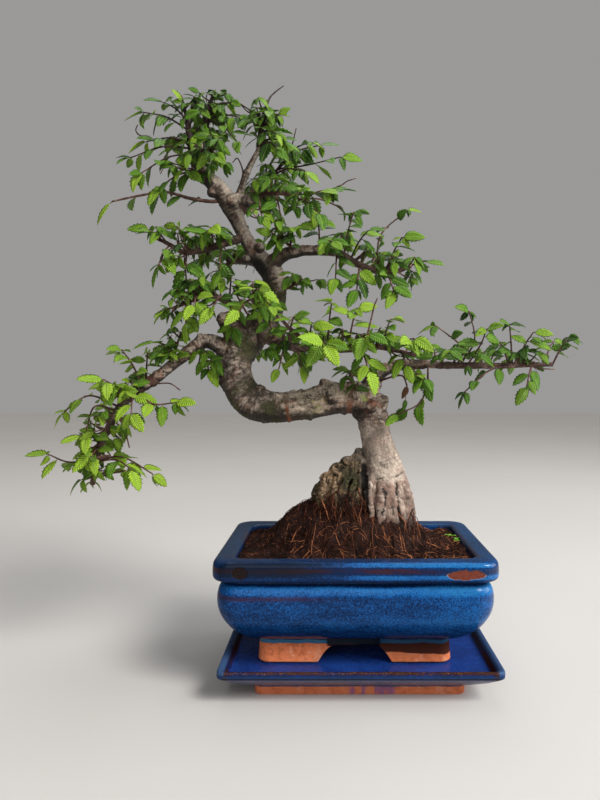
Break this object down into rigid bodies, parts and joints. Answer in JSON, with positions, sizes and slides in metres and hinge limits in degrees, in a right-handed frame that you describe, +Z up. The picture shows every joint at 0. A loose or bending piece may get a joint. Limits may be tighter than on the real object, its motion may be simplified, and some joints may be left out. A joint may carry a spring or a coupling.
{
  "type": "chinese elm bonsai",
  "caption": "Chinese elm bonsai with an S-shaped trunk and tiered sprays of small toothed leaves, heaped in a glazed rectangular pot on a matching drip tray.",
  "frame": {"origin": "on the tray's flat underside, under the middle of the pot", "axes": "+Z up along the pot's height, +X along the pot's long side towards the low right branch, +Y towards the back of the pot"},
  "size_m": [0.4326, 0.1707, 0.4698],
  "materials": {
    "tray_glaze": "glossy cobalt glaze over bare clay at the foot",
    "pot_glaze": "glossy mottled blue glaze that breaks rust brown on the lip",
    "drain_plastic": "matt moulded mesh",
    "soil_fibre": "loose red-brown fibre",
    "bark": "rough grey-brown bark with rust-red spots",
    "leaf": "satin green leaf with pressed veins, on a thin brown twig",
    "withered_leaf": "dry curled leaf"
  },
  "bodies": {
    "root": {"drip_tray": "tray_glaze", "pot": "pot_glaze", "drain_mesh_left": "drain_plastic", "drain_mesh_right": "drain_plastic", "soil": "soil_fibre", "tree": "bark", "stem_lower_left": "leaf", "stem_low_inner": "leaf", "stem_low_hang": "leaf", "stem_right": "leaf", "stem_right_inner": "leaf", "stem_withered": "withered_leaf", "stem_middle": "leaf", "stem_elbow": "leaf", "stem_upper_right": "leaf", "stem_upper_inner": "leaf", "stem_trunk_twig": "leaf", "stem_upper_left": "leaf", "stem_inner_left": "leaf", "stem_front": "leaf", "stem_crown_top": "leaf", "stem_trunk_top": "leaf", "stem_crown_low": "leaf", "stem_crown_front": "leaf", "stem_crown_rear": "leaf", "stem_long": "leaf", "stem_crown_right": "leaf", "stem_crown_back": "leaf", "stem_crown_side": "leaf", "stem_back_top": "leaf", "stem_back_mid": "leaf", "stem_back_low": "leaf"}
  },
  "joints": []
}
